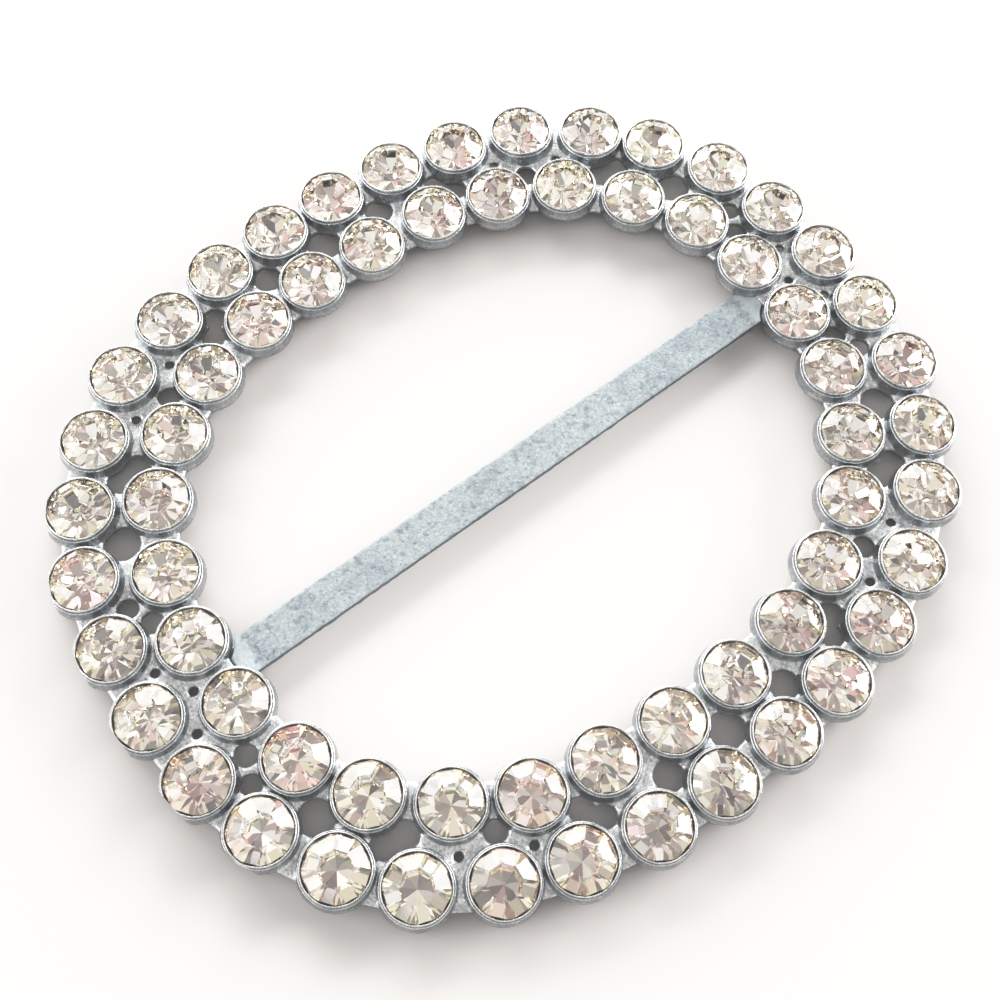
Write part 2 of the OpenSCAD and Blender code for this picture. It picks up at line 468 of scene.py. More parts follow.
def mapped(nodes, value, source, target):
    """A value carried over from one range to another, each given by its two ends."""
    return nodes.out("ShaderNodeMapRange", {
        "Value": value, "From Min": source[0], "From Max": source[1],
        "To Min": target[0], "To Max": target[1]})


def toned(colour, share):
    """A colour made darker or brighter, white at most."""
    return [min(1, c * share) for c in colour]


def ramp(nodes, factor, stops, interpolation="LINEAR"):
    """A colour ramp through stops of (position, grey or colour)."""
    node = nodes.add("ShaderNodeValToRGB", {"Fac": factor})
    node.color_ramp.interpolation = interpolation
    elements = node.color_ramp.elements
    while len(elements) < len(stops):
        elements.new(1.0)
    for element, (position, colour) in zip(elements, stops):
        element.position = position
        red_green_blue = (colour,) * 3 if isinstance(colour, (int, float)) else tuple(colour)
        element.color = red_green_blue + (1.0,)
    return node.outputs["Color"]


def mixed(nodes, factor, a, b, blend="MIX"):
    return nodes.out("ShaderNodeMix", {"Factor": factor, "A": a, "B": b}, data_type="RGBA", blend_type=blend)


def stained(nodes, base, factor, stops, strength=1.0):
    """A colour darkened by a ramp through stops of (position, grey or colour)."""
    return mixed(nodes, strength, base, ramp(nodes, factor, stops), "MULTIPLY")


def shaded_below(nodes, base, place, low, high):
    """A colour painted dark below the height low and clear above high: painted shade on the lower parts,
    where little light reaches.
    """
    height = mapped(nodes, nodes.split(place)["Z"], (low, high), (0.0, 1.0))
    return stained(nodes, base, height, [(0.0, 0.16), (0.55, 0.55), (1.0, 1.0)])


def bumped(nodes, relief, depth, strength=1.0):
    return nodes.out("ShaderNodeBump", {
        "Strength": strength, "Distance": depth, "Height": relief}, take="Normal")


def cup_material(name, colour, worn_colour, seam):
    """Dull plating with nicks and pits, the lip rubbed bright by wear, painted highlights and shade on its
    steps, and painted shade low down.
    """
    material, nodes, shader = new_material(name)
    place = object_place(nodes)
    fine = speckle(nodes, place, per_mm=6.0, detail=4.0, roughness=0.65)
    middle = speckle(nodes, place, per_mm=2.2, detail=3.0, roughness=0.6)
    broad = speckle(nodes, place, per_mm=0.8, detail=2.0, roughness=0.5)
    chance = nodes.plus(nodes.minus(fine, 0.5), nodes.minus(middle, 0.5))
    # brighter for the lip's wear and for the painted highlights on the steps, darker for the painted shade in
    # the groove
    wear_and_light = nodes.math("MULTIPLY_ADD", chance, 0.9, own_number(nodes, "worn"))
    wear_and_light = ramp(nodes, wear_and_light, [(0.0, 0.0), (1.0, 1.0)])
    base = mixed(nodes, wear_and_light, (*colour, 1.0), (*worn_colour, 1.0))
    base = stained(nodes, base, broad, [(0.34, (0.70, 0.72, 0.75)), (0.60, 1.0)])
    base = stained(nodes, base, fine, [(0.33, 0.5), (0.42, 1.0)])
    # painted shade on the cup's lower wall and foot, below the web
    base = shaded_below(nodes, base, place, seam - 0.7 * MM, seam + 0.1 * MM)
    roughness = mapped(nodes, middle, (0.35, 0.65), (0.38, 0.18))
    relief = nodes.plus(fine, nodes.times(middle, 1.6))
    normal = bumped(nodes, relief, 0.022 * MM)
    set_inputs(nodes, shader, base_color=base, metallic=1.0, roughness=roughness, normal=normal)
    return material


def web_material(name, colour, top):
    """Sandy bright casting: coarse grains of chance tones, the brightest painted as glints, grey dirt in the
    hollows, and painted shade low down.
    """
    material, nodes, shader = new_material(name)
    place = object_place(nodes)
    fine = speckle(nodes, place, per_mm=5.0, detail=4.0, roughness=0.7)
    broad = speckle(nodes, place, per_mm=0.9, detail=3.0, roughness=0.6)
    grain_and_glint = nodes.split(cells(nodes, place, 8.0 / MM, "Color"))["Y"]
    # each grain takes a chance tone, and the brightest grains are painted glints
    base = ramp(nodes, grain_and_glint, [(0.0, toned(colour, 0.62)), (0.55, colour), (1.0, toned(colour, 1.35))])
    base = stained(nodes, base, fine, [(0.28, 0.50), (0.44, 1.0)])
    base = stained(nodes, base, broad, [(0.30, (0.70, 0.71, 0.73)), (0.55, 1.0)])
    # painted shade on the web's underside and on the walls of its holes
    base = shaded_below(nodes, base, place, top - 0.5 * MM, top - 0.08 * MM)
    roughness = mapped(nodes, grain_and_glint, (0.6, 1.0), (0.48, 0.22))
    relief = nodes.plus(fine, nodes.times(grain_and_glint, 0.35))
    normal = bumped(nodes, relief, 0.03 * MM)
    set_inputs(nodes, shader, base_color=base, metallic=1.0, roughness=roughness, normal=normal)
    return material


def bar_material(name, colour, half_length):
    """Dull blue-grey plating: specks and small pits, stains near the soldered ends, and painted shade on the
    sheared edges.
    """
    material, nodes, shader = new_material(name)
    place = object_place(nodes)
    fine = speckle(nodes, place, per_mm=6.0, detail=5.0, roughness=0.72)
    middle = speckle(nodes, place, per_mm=1.9, detail=4.0, roughness=0.65)
    broad = speckle(nodes, place, per_mm=0.42, detail=3.0, roughness=0.6)
    pebbles = cells(nodes, place, 3.4 / MM, "Distance")
    base = ramp(nodes, fine, [
        (0.34, toned(colour, 0.40)), (0.42, toned(colour, 0.92)), (0.56, colour), (0.70, toned(colour, 1.5))])
    base = stained(nodes, base, pebbles, [(0.0, 1.0), (0.45, 0.96), (0.62, 0.74)], 0.5)
    base = stained(nodes, base, middle, [(0.36, (0.55, 0.60, 0.66)), (0.47, 1.0)], 0.8)
    base = stained(nodes, base, broad, [(0.36, (0.62, 0.66, 0.70)), (0.52, 1.0)], 0.6)
    from_end = nodes.minus(half_length, nodes.math("ABSOLUTE", nodes.split(place)["X"]))
    near_end = mapped(nodes, from_end, (2.6 * MM, 1.2 * MM), (0.0, 0.13))
    dirt = nodes.plus(middle, near_end)
    base = stained(nodes, base, dirt, [(0.62, 1.0), (0.70, (0.50, 0.54, 0.58))])
    ragged_end = nodes.math("MULTIPLY_ADD", middle, -2.0 * MM, from_end)
    solder = mapped(nodes, ragged_end, (0.35 * MM, -0.05 * MM), (0.0, 0.8))
    base = mixed(nodes, solder, base, (*toned(colour, 1.45), 1.0))
    # painted shade: darker sides and lower corners, and a slightly darker underside
    base = stained(nodes, base, own_number(nodes, "edge"), [(0.2, 1.0), (0.7, (0.30, 0.32, 0.36))])
    relief = nodes.plus(fine, nodes.times(pebbles, -0.5))
    normal = bumped(nodes, relief, 0.03 * MM, 0.8)
    set_inputs(nodes, shader, base_color=base, metallic=0.45, roughness=0.52, normal=normal)
    return material


def glass_material(name, refraction):
    material, nodes, shader = new_material(name)
    set_inputs(nodes, shader, base_color=(1.0, 0.995, 0.97, 1.0), roughness=0.01, ior=refraction,
               transmission_weight=1.0)
    return material


# Tints of the foil behind a facet, by the facet's chance number: painted reflections that stand in for the
# room's colours mirrored in the facets
PAINTED_FACET_TINTS = (
    (0.00, (0.98, 0.96, 0.925)),
    (0.30, (0.99, 0.98, 0.96)),
    (0.52, (0.95, 0.92, 0.91)),
    (0.63, (0.66, 0.63, 0.64)),
    (0.73, (0.98, 0.84, 0.86)),
    (0.82, (0.75, 0.73, 0.705)),
    (0.90, (0.98, 0.955, 0.89)),
)
STRAW = (0.99, 0.96, 0.86, 1.0)


def foil_material(name):
    """The mirror foil behind a stone. Its tint changes from facet to facet as painted reflections, and is
    straw at the girdle.
    """
    material, nodes, shader = new_material(name)
    tint = ramp(nodes, own_number(nodes, "facet"), PAINTED_FACET_TINTS, "CONSTANT")
    straw = mixed(nodes, 1.0, tint, STRAW, "MULTIPLY")
    tint = mixed(nodes, own_number(nodes, "outer"), tint, straw)
    set_inputs(nodes, shader, base_color=tint, metallic=1.0, roughness=0.04)
    return material


# Cups

# Inputs of the tree that are settings of the same names
CUP_INPUTS = ("Lean", "Unevenness", "Skin", "Gate bearing", "Gate spread", "Gate reach")
TILT_SEED = 3
SKIN_WAVES_PER_MM = 0.8


def lathed(name, profile, segments):
    """A closed solid of revolution. The profile runs from the axis and back to it, as (radius, z, wear and
    painted light).
    """
    rings = profile[1:-1]
    corners = [(radius * math.cos(turn), radius * math.sin(turn), z)
               for radius, z, _ in rings for turn in np.arange(segments) * math.tau / segments]
    start, end = len(corners), len(corners) + 1
    corners += [(0, 0, profile[0][1]), (0, 0, profile[-1][1])]
    faces = []
    for s in range(segments):
        t = (s + 1) % segments
        faces.append((start, t, s))
        for a in range(0, start - segments, segments):
            faces.append((a + s, a + t, a + segments + t, a + segments + s))
        faces.append((start - segments + s, start - segments + t, end))
    mesh = new_mesh(name, corners, faces)
    store(mesh, "worn", [w for _, _, w in rings for _ in range(segments)] + [profile[0][2], profile[-1][2]])
    return mesh


def cup_profile(cups, web):
    """Outline of one cup as (radius, z, wear and painted light), from the middle of its foot to the middle of
    its seat.
    """
    wall, flare, foot, bore = cups.radius, cups.flare, cups.foot, cups.bore
    rim, top, seam = bore + cups.lip, cups.height, web.top
    return [
        # foot
        (0, 0, 0.0),
        (foot - 0.12 * MM, 0, 0.5),
        (foot - 0.02 * MM, 0.03 * MM, 0.6),
        (foot + 0.06 * MM, 0.11 * MM, 0.5),
        # wall, flared where it meets the web, with a painted highlight on the flare
        (wall - 0.14 * MM, web.bottom, 0.2),
        (flare - 0.05 * MM, seam - 0.25 * MM, 0.3),
        (flare, seam - 0.05 * MM, 0.45),
        (flare - 0.035 * MM, seam + 0.10 * MM, 0.3),
        (wall + 0.065 * MM, seam + 0.30 * MM, 0.05),
        (wall + 0.022 * MM, seam + 0.48 * MM, 0.0),
        # shoulder and groove: a painted highlight on the shoulder step and painted shade in the groove
        (wall, top - 0.28 * MM, 0.1),
        (wall - 0.006 * MM, top - 0.235 * MM, 0.45),
        (wall - 0.030 * MM, top - 0.195 * MM, 0.75),
        (wall - 0.062 * MM, top - 0.190 * MM, 0.45),
        (rim + 0.012 * MM, top - 0.225 * MM, 0.0),
        # lip, rubbed bright by wear
        (rim + 0.004 * MM, top - 0.195 * MM, 0.1),
        (rim, top - 0.060 * MM, 0.5),
        (rim - 0.015 * MM, top - 0.018 * MM, 0.95),
        (rim - 0.040 * MM, top, 1.0),
        (bore + 0.012 * MM, top - 0.012 * MM, 1.0),
        (bore, top - 0.05 * MM, 0.9),
        # seat, lighter near the lip and darker deeper down
        (bore, top - 0.30 * MM, 0.8),
        (bore * 0.5, top - 1.15 * MM, 0.5),
        (0, 0.25 * MM, 0.0),
    ]


def settle(nodes, given, spin=None):
    """Turn of a cup or stone: its own spin, then the lean of its row and a chance tilt, the same for both."""
    outward = nodes.attribute("outward", "FLOAT_VECTOR")
    tangent = nodes.vector("CROSS_PRODUCT", (0, 0, 1), outward)
    leaning = nodes.times(nodes.attribute("side"), given["Lean"])
    most = nodes.joined(given["Unevenness"], given["Unevenness"], 0.0)
    least, number = nodes.scaled(most, -1.0), nodes.attribute("number")
    chance = nodes.chance(least, most, TILT_SEED, number, "FLOAT_VECTOR")
    tilt = nodes.vector("ADD", nodes.scaled(tangent, leaning), chance)
    tilt = nodes.out("FunctionNodeEulerToRotation", {"Euler": tilt})
    if spin is None:
        return tilt
    turned = nodes.out("FunctionNodeEulerToRotation", {"Euler": nodes.joined(0.0, 0.0, spin)})
    return nodes.out("FunctionNodeRotateRotation", {
        "Rotation": turned, "Rotate By": tilt}, rotation_space="GLOBAL")


def cup_tree():
    """Stands a cup on every point, roughens the casting and flattens the cups whose gates were cut off."""
    tree, nodes, given = new_geometry_tree("Stone cups", CUP_INPUTS, {"Cup": "Object", "Metal": "Material"})
    place = nodes.out("GeometryNodeInputPosition")
    points = nodes.stored(given["Geometry"], "centre", place, "FLOAT_VECTOR", "POINT")
    cups = stand(nodes, given["Cup"], points, settle(nodes, given))

    # waviness of the cast skin
    waves = speckle(nodes, place, SKIN_WAVES_PER_MM, detail=3.0, roughness=0.55, take="Color")
    waves = nodes.scaled(nodes.vector("SUBTRACT", waves, (0.5, 0.5, 0.5)), given["Skin"])
    rough = nodes.vector("ADD", place, waves)

    # flats on the outer row, on the side of the gates
    outward = nodes.attribute("outward", "FLOAT_VECTOR")
    from_centre = nodes.vector("SUBTRACT", rough, nodes.attribute("centre", "FLOAT_VECTOR"))
    over = nodes.math("MAXIMUM", nodes.minus(nodes.along(from_centre, outward), given["Gate reach"]), 0.0)
    bearing = given["Gate bearing"]
    gate_side = nodes.joined(nodes.math("COSINE", bearing), nodes.math("SINE", bearing), 0.0)
    facing = nodes.along(outward, gate_side)
    cut = nodes.math("GREATER_THAN", facing, nodes.math("COSINE", given["Gate spread"]))
    cut = nodes.times(cut, nodes.math("GREATER_THAN", nodes.attribute("side"), 0.0))
    shaved = nodes.vector("SUBTRACT", rough, nodes.scaled(outward, nodes.times(over, cut)))

    # flat feet on the floor
    x, y, z = nodes.split(shaved)
    on_floor = nodes.joined(x, y, nodes.math("MAXIMUM", z, 0.0))
    cups = nodes.out("GeometryNodeSetPosition", {"Geometry": cups, "Position": on_floor})
    cups = nodes.out("GeometryNodeSetShadeSmooth", {"Geometry": cups, "Shade Smooth": True})
    end_tree(nodes, cups, given["Metal"])
    return tree


class SLIDE_OT_cups(bpy.types.Operator):
    """Build the cups that hold the stones"""

    bl_idname = "slide.cups"
    bl_label = "Cups"

    def execute(self, context):
        cups, web = context.scene.slide_cups, context.scene.slide_web
        source = point_mesh("cup_places", *cup_places(cups, web))
        pattern = lathed("cup_pattern", cup_profile(cups, web), cups.segments)
        pattern = bpy.data.objects.new("cup_pattern", pattern)
        metal = cup_material("plated_cup", cups.colour, cups.worn_colour, web.top)
        piece = grow("stone_cups", source, cup_tree(), {
            "Cup": pattern, "Metal": metal, **by_name(cups, CUP_INPUTS)})
        bpy.data.objects.remove(pattern)
        keep(piece, "cast_frame", "frame")
        return {"FINISHED"}


# Web

# Inputs of the tree that are settings of the same names, and those that the bar's place gives
WEB_INPUTS = (
    "Half length", "Half width", "Fullness", "Reach", "Top", "Bottom", "Plain cup", "Fillet", "Grain")
LEDGE_INPUTS = ("Ledge start", "Ledge end", "Ledge half width", "Ledge top")
# Softness of the plate's edges, of the ledges' edges and of the corner between them
PLATE_EASE, LEDGE_EASE, LEDGE_FILLET = 0.12 * MM, 0.06 * MM, 0.1 * MM
# The collar round a cup: its height over the web, and how far inside the plain cup its wall and bore lie
COLLAR_RISE, COLLAR_INSET, COLLAR_BORE = 0.42 * MM, 0.04 * MM, 0.28 * MM
# How far a ledge reaches inwards and outwards from the bar's end, and stays inside its edges and under it
LEDGE_INWARDS, LEDGE_OUTWARDS, LEDGE_INSET, LEDGE_GAP = 1.6 * MM, 2.2 * MM, 0.3 * MM, 0.05 * MM
# Room in the block of voxels beside the web, under the floor and over the web
ROOM_BESIDE, ROOM_UNDER, ROOM_OVER = 0.5 * MM, 0.25 * MM, 0.75 * MM
GRAINS_PER_MM = 1.7


def shared_by(nodes, softness, first, *rest):
    """Distance to what several shapes share, with the edges between them eased."""
    shared = first
    for other in rest:
        shared = nodes.math("SMOOTH_MAX", shared, other, softness)
    return shared


def oval_distance(nodes, x, y, half_length, half_width, fullness):
    """Distance beyond an oval, measured along the line from the centre."""
    def term(value, half):
        return nodes.math("POWER", nodes.math("ABSOLUTE", nodes.math("DIVIDE", value, half)), fullness)
    terms = nodes.plus(term(x, half_length), term(y, half_width))
    size = nodes.math("POWER", terms, nodes.math("DIVIDE", 1.0, fullness))
    from_centre = nodes.vector("LENGTH", nodes.joined(x, y, 0.0), take="Value")
    return nodes.minus(from_centre, nodes.math("DIVIDE", from_centre, size))


def web_tree():
    """Cuts the web out of a block of voxels.

    It is an oval plate with holes, soft where cups rise out of it, with a ledge under each end of the bar.
    """
    tree, nodes, given = new_geometry_tree("Pierced web", WEB_INPUTS + LEDGE_INPUTS, {
        "Holes": "Object", "Lowest": "Vector", "Highest": "Vector",
        "Steps X": "Int", "Steps Y": "Int", "Steps Z": "Int", "Metal": "Material"})
    place = nodes.out("GeometryNodeInputPosition")
    x, y, z = nodes.split(place)
    plan = nodes.joined(x, y, 0.0)
    under, over = nodes.minus(given["Bottom"], z), nodes.minus(z, given["Top"])

    def nearest_point(geometry):
        return nodes.out("GeometryNodeProximity", {"Geometry": geometry, "Sample Position": plan},
                         take="Distance", target_element="POINTS")

    # the oval plate with its holes
    holes = nodes.out("GeometryNodeObjectInfo", {"Object": given["Holes"]}, take="Geometry")
    index = nodes.out("GeometryNodeSampleNearest", {
        "Geometry": holes, "Sample Position": plan}, domain="POINT")
    hole_radius = nodes.out("GeometryNodeSampleIndex", {
        "Geometry": holes, "Value": nodes.attribute("radius_of_hole"), "Index": index},
        data_type="FLOAT", domain="POINT")
    into_hole = nodes.minus(hole_radius, nearest_point(holes))
    beyond_outer, beyond_inner = (
        oval_distance(nodes, x, y, nodes.math(way, given["Half length"], given["Reach"]),
                      nodes.math(way, given["Half width"], given["Reach"]), given["Fullness"])
        for way in ("ADD", "SUBTRACT"))
    within_inner = nodes.times(beyond_inner, -1.0)
    slab = nodes.math("MAXIMUM", over, under)
    plate = shared_by(nodes, PLATE_EASE, slab, beyond_outer, within_inner, into_hole)

    # a collar round every cup
    to_cup = nearest_point(given["Geometry"])
    collar_top = nodes.plus(given["Top"], COLLAR_RISE)
    collar = nodes.minus(to_cup, nodes.minus(given["Plain cup"], COLLAR_INSET))
    collar = nodes.math("MAXIMUM", collar, nodes.minus(z, collar_top))
    collar = nodes.math("MAXIMUM", collar, under)
    body = nodes.math("SMOOTH_MIN", plate, collar, given["Fillet"])

    # the ledges under the bar
    along = nodes.math("ABSOLUTE", x)
    ledge = shared_by(
        nodes, LEDGE_EASE,
        nodes.minus(given["Ledge start"], along),
        nodes.minus(along, given["Ledge end"]),
        nodes.minus(nodes.math("ABSOLUTE", y), given["Ledge half width"]),
        nodes.minus(z, given["Ledge top"]),
        nodes.times(z, -1.0))
    body = nodes.math("SMOOTH_MIN", body, ledge, LEDGE_FILLET)

    # room inside the cups, and the grain of the cast face
    bore = nodes.minus(nodes.minus(given["Plain cup"], COLLAR_BORE), to_cup)
    body = nodes.math("MAXIMUM", body, bore)
    grain = nodes.minus(speckle(nodes, place, GRAINS_PER_MM, detail=2.0, roughness=0.5), 0.5)
    body = nodes.plus(body, nodes.times(grain, given["Grain"]))

    block = nodes.out("GeometryNodeVolumeCube", {
        "Density": nodes.math("DIVIDE", body, -MM), "Background": -1.0,
        "Min": given["Lowest"], "Max": given["Highest"],
        **{"Resolution " + axis: given["Steps " + axis] for axis in "XYZ"}})
    web = nodes.out("GeometryNodeVolumeToMesh", {"Volume": block, "Threshold": 0.0, "Adaptivity": 0.0})
    web = nodes.out("GeometryNodeSetShadeSmooth", {"Geometry": web, "Shade Smooth": True})
    end_tree(nodes, web, given["Metal"])
    return tree


class SLIDE_OT_web(bpy.types.Operator):
    """Build the pierced web between the cups, with the ledges under the bar"""

    bl_idname = "slide.web"
    bl_label = "Web"

    def execute(self, context):
        cups, web = context.scene.slide_cups, context.scene.slide_web
        centres, radii = zip(*pierced_spaces([loose_centres(node) for node in STONE_ROWS], web))
        holes = point_mesh("hole_places", centres, {"radius_of_hole": radii})
        holes = bpy.data.objects.new("hole_places", holes)
        source = point_mesh("web_places", cup_places(cups, web)[0], {})
        bar_low, bar_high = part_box("cross_bar")
        lowest = Vector((-web.half_length - web.reach - ROOM_BESIDE,
                         -web.half_width - web.reach - ROOM_BESIDE, -ROOM_UNDER))
        highest = Vector((-lowest.x, -lowest.y, web.top + ROOM_OVER))
        steps = {"Steps " + axis: round(side / web.voxel) + 1 for axis, side in zip("XYZ", highest - lowest)}
        piece = grow("cast_web", source, web_tree(), {
            "Holes": holes,
            "Ledge start": bar_high.x - LEDGE_INWARDS,
            "Ledge end": bar_high.x + LEDGE_OUTWARDS,
            "Ledge half width": bar_high.y - LEDGE_INSET,
            "Ledge top": bar_low.z - LEDGE_GAP,
            "Lowest": list(lowest),
            "Highest": list(highest),
            "Metal": web_material("rough_web", web.colour, web.top),
            **steps,
            **by_name(web, WEB_INPUTS),
        })
        bpy.data.objects.remove(holes)
        keep(piece, "cast_frame", "frame")
        return {"FINISHED"}


# Bar

# Softness of the bar's edges, and the least half width that the scoops leave
EDGE_EASE, THINNEST_END = 0.05 * MM, 0.02 * MM
# The bar has burrs where it is at least this share of its width to either side of its middle
BURRED_SHARE = 0.4
# Waves of the flat faces and of the burrs, as (waves a millimetre, strength)
FACE_WAVES = ((3.1, 1.0), (1.1, 1.0))
BURR_WAVES = ((0.9, 1.0), (2.7, 0.5))


def bar_half_width(x, full, scoops, clearance):
    """Half the bar's width at x, less the scoops that clear the cups at its ends."""
    half = full
    for cx, cy in scoops:
        away = abs(x - cx)
        if away < clearance:
            half = min(half, abs(cy) - math.sqrt(clearance ** 2 - away ** 2))
    return max(half, THINNEST_END)


def bar_section(half, low, high, across):
    """A flat section with eased edges, once round, as (y, z, how far it belongs to a sheared edge). This sets
    the burrs and the painted shade on the edges, and a little painted shade on the underside.
    """
    ease = min(EDGE_EASE, half / 2)
    ys = np.linspace(-half + ease, half - ease, across)
    right = [
        (half - ease * 0.3, high - 0.015 * MM, 0.8),
        (half, high - 0.06 * MM, 1.0),
        (half, low + 0.08 * MM, 1.0),
        (half - ease * 0.5, low + 0.02 * MM, 1.0),
    ]
    left = [(-y, z, edge) for y, z, edge in reversed(right)]
    return [(y, high, 0.0) for y in ys] + right + [(y, low, 0.3) for y in ys[::-1]] + left


def ripple(place, waves):
    """Smooth chance waves at a place given in millimetres."""
    return sum(noise.noise(place * per_mm) * strength for per_mm, strength in waves)


def bar_surface(x, y, z, edge, bar, burred):
    """One point of the bar's skin: wavy faces everywhere, and burrs along the edges where it is burred."""
    place = Vector((x, y, z)) / MM
    if burred:
        y += math.copysign(edge * (ripple(place, BURR_WAVES) * bar.burr), y)
    return x, y, z + ripple(place, FACE_WAVES) * bar.wave


def bar_mesh(name, bar, scoops, low, high):
    """The bar's closed skin, section by section along X, with its number "edge", which the material paints as
    shade along the edges.
    """
    corners, edges, faces = [], [], []
    for x in np.linspace(low.x, high.x, round((high.x - low.x) / bar.step) + 1):
        half = bar_half_width(x, bar.width / 2, scoops, bar.clearance)
        section = bar_section(half, low.z, high.z, bar.face_points)
        burred = half > bar.width * BURRED_SHARE
        corners += [bar_surface(x, y, z, edge, bar, burred) for y, z, edge in section]
        edges += [edge for _, _, edge in section]
    around = len(section)
    for a in range(0, len(corners) - around, around):
        for s in range(around):
            t = (s + 1) % around
            faces.append((a + s, a + around + s, a + around + t, a + t))
    faces.append(tuple(range(around))[::-1])
    faces.append(tuple(range(len(corners) - around, len(corners))))
    mesh = new_mesh(name, corners, faces)
    store(mesh, "edge", edges)
    shape = bmesh.new()
    shape.from_mesh(mesh)
    bmesh.ops.recalc_face_normals(shape, faces=shape.faces)
    for face in shape.faces:
        face.smooth = True
    shape.to_mesh(mesh)
    shape.free()
    return mesh


class SLIDE_OT_bar(bpy.types.Operator):
    """Build the flat bar across the ring"""

    bl_idname = "slide.bar"
    bl_label = "Bar"

    def execute(self, context):
        bar, cups = context.scene.slide_bar, context.scene.slide_cups
        low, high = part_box("cross_bar")
        scoops = [c for c in cup_centres("inner_stones", cups) if abs(c[1]) < bar.width]
        piece = put("flat_bar", bar_mesh("flat_bar", bar, scoops, low, high))
        piece.data.materials.append(bar_material("dull_bar", bar.colour, high.x))
        keep(piece, "cross_bar", "cross_bar")
        return {"FINISHED"}


# Stones

def cut_stone(name, stones, floor, top):
    """One cut stone: table, crown, girdle, and a pavilion of long mains with break facets between them.

    The girdle and the pavilion are flagged "foiled", and the number "outer" is 1 on the facets at the girdle.
    """
    n = stones.sides
    side = math.tau / n
    low_girdle = stones.girdle - stones.girdle_height

    def ring(radius, z, turns):
        return [(radius * math.cos(t), radius * math.sin(t), z) for t in turns]

    def paired(share):
        return [(i + end * share / 2) * side for i in range(n) for end in (-1, 1)]

    slope = (low_girdle - floor) / (stones.radius * math.cos(stones.pavilion_main * side / 2))
    break_radius = stones.radius * stones.pavilion_break
    break_z = floor + break_radius * math.cos(side / 2) * slope
    corners = ring(stones.radius * stones.table, top, [(i - 0.5) * side for i in range(n)])
    corners += ring(stones.radius, stones.girdle, paired(stones.main))
    corners += ring(stones.radius, low_girdle, paired(stones.pavilion_main))
    corners += ring(break_radius, break_z, [(i + 0.5) * side for i in range(n)])
    corners.append((0, 0, floor))
    upper, lower, middle, culet = n, 3 * n, 5 * n, 6 * n
    crown, girdle, pavilion = [list(range(n))], [], []
    for i in range(n):
        before, after = (i - 1) % n, (i + 1) % n
        a, b, c = 2 * i, 2 * i + 1, 2 * after
        crown.append([i, upper + a, upper + b, after])
        crown.append([after, upper + b, upper + c])
        girdle.append([upper + a, lower + a, lower + b, upper + b])
        girdle.append([upper + b, lower + b, lower + c, upper + c])
        pavilion.append([lower + b, lower + a, middle + before, culet, middle + i])
        pavilion.append([lower + c, lower + b, middle + i])
    mesh = new_mesh(name, corners, crown + girdle + pavilion)
    store(mesh, "foiled", [False] * len(crown) + [True] * (len(girdle) + len(pavilion)), "FACE")
    store(mesh, "outer", [0.0] * len(crown) + [1.0] * len(girdle) + [0.0, 1.0] * n, "FACE")
    return mesh


def stone_tree():
    """Sets a stone on every point, each with its own turn, and gives every facet a chance number."""
    tree, nodes, given = new_geometry_tree("Cut stones", ("Lean", "Unevenness"), {
        "Stone": "Object", "Seed": "Int", "Glass": "Material", "Foil": "Material"})
    spin = nodes.chance(0.0, math.tau, given["Seed"], nodes.attribute("number"))
    stones = stand(nodes, given["Stone"], given["Geometry"], settle(nodes, given, spin))
    stones = nodes.stored(stones, "facet", nodes.chance(0.0, 1.0, given["Seed"]), "FLOAT", "FACE")
    end_tree(nodes, stones, given["Glass"], given["Foil"])
    return tree


class SLIDE_OT_stones(bpy.types.Operator):
    """Build both rows of cut stones"""

    bl_idname = "slide.stones"
    bl_label = "Stones"

    def execute(self, context):
        stones, cups = context.scene.slide_stones, context.scene.slide_cups
        points, numbers = cup_places(cups, context.scene.slide_web)
        low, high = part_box("outer_stones")
        pattern = bpy.data.objects.new("stone_pattern", cut_stone("stone_pattern", stones, low.z, high.z))
        tree = stone_tree()
        inputs = {
            "Stone": pattern,
            "Seed": stones.seed,
            "Glass": glass_material("cut_glass", stones.refraction),
            "Foil": foil_material("mirror_foil"),
            **by_name(cups, ("Lean", "Unevenness")),
        }
        for node, side in STONE_ROWS.items():
            mine = numbers["side"] == side
            source = point_mesh(node + "_places", points[mine], {k: v[mine] for k, v in numbers.items()})
            piece = grow("cut_" + node, source, tree, inputs)
            keep(piece, node, node)
        bpy.data.objects.remove(pattern)
        return {"FINISHED"}


# Stage

# Brightness and colour of the patches of the room that the stones mirror
ROOM_TONES = (
    (0.00, (0.15, 0.15, 0.155)),
    (0.11, (0.30, 0.255, 0.25)),
    (0.25, (0.36, 0.35, 0.335)),
    (0.40, (0.70, 0.53, 0.52)),
    (0.48, (0.71, 0.66, 0.55)),
    (0.60, (0.75, 0.735, 0.70)),
    (0.78, (0.95, 0.94, 0.91)),
    (0.91, (1.30, 1.30, 1.30)),
)
ROOM_PATCHES = 6.0
# The dark patch towards the camera: its place and half sizes on a sphere of radius one, and its grey
DARK_PLACE, DARK_DEPTH, DARK_WIDTH = 0.44, 0.26, 0.15
DARK_TONE = (0.24, 0.24, 0.25, 1.0)
# What dull surfaces get from the room, and what the camera sees of it
DULL_TONE = (0.26, 0.26, 0.26, 1.0)
SEEN_TONE = (1.0, 1.0, 1.0, 1.0)
LAMP_COLOURS = {"key": (1.0, 0.99, 0.97), "side": (1.0, 0.97, 0.95), "fill": (1.0, 0.98, 0.96)}
MIRROR_BOUNCES = 12
# Width of the camera's sensor in millimetres, and the nearest and farthest that it sees, in metres
SENSOR_WIDTH, NEAREST, FARTHEST = 36.0, 0.005, 20.0
# The tone curve, from what comes in to what goes out, and what comes in as white
TONE_START, TONE_POINTS = (0.0, 0.045), ((0.2, 0.305), (0.4, 0.575), (0.6, 0.80), (0.8, 0.945))
WHITE_LEVEL = (1.5, 1.5, 1.5)
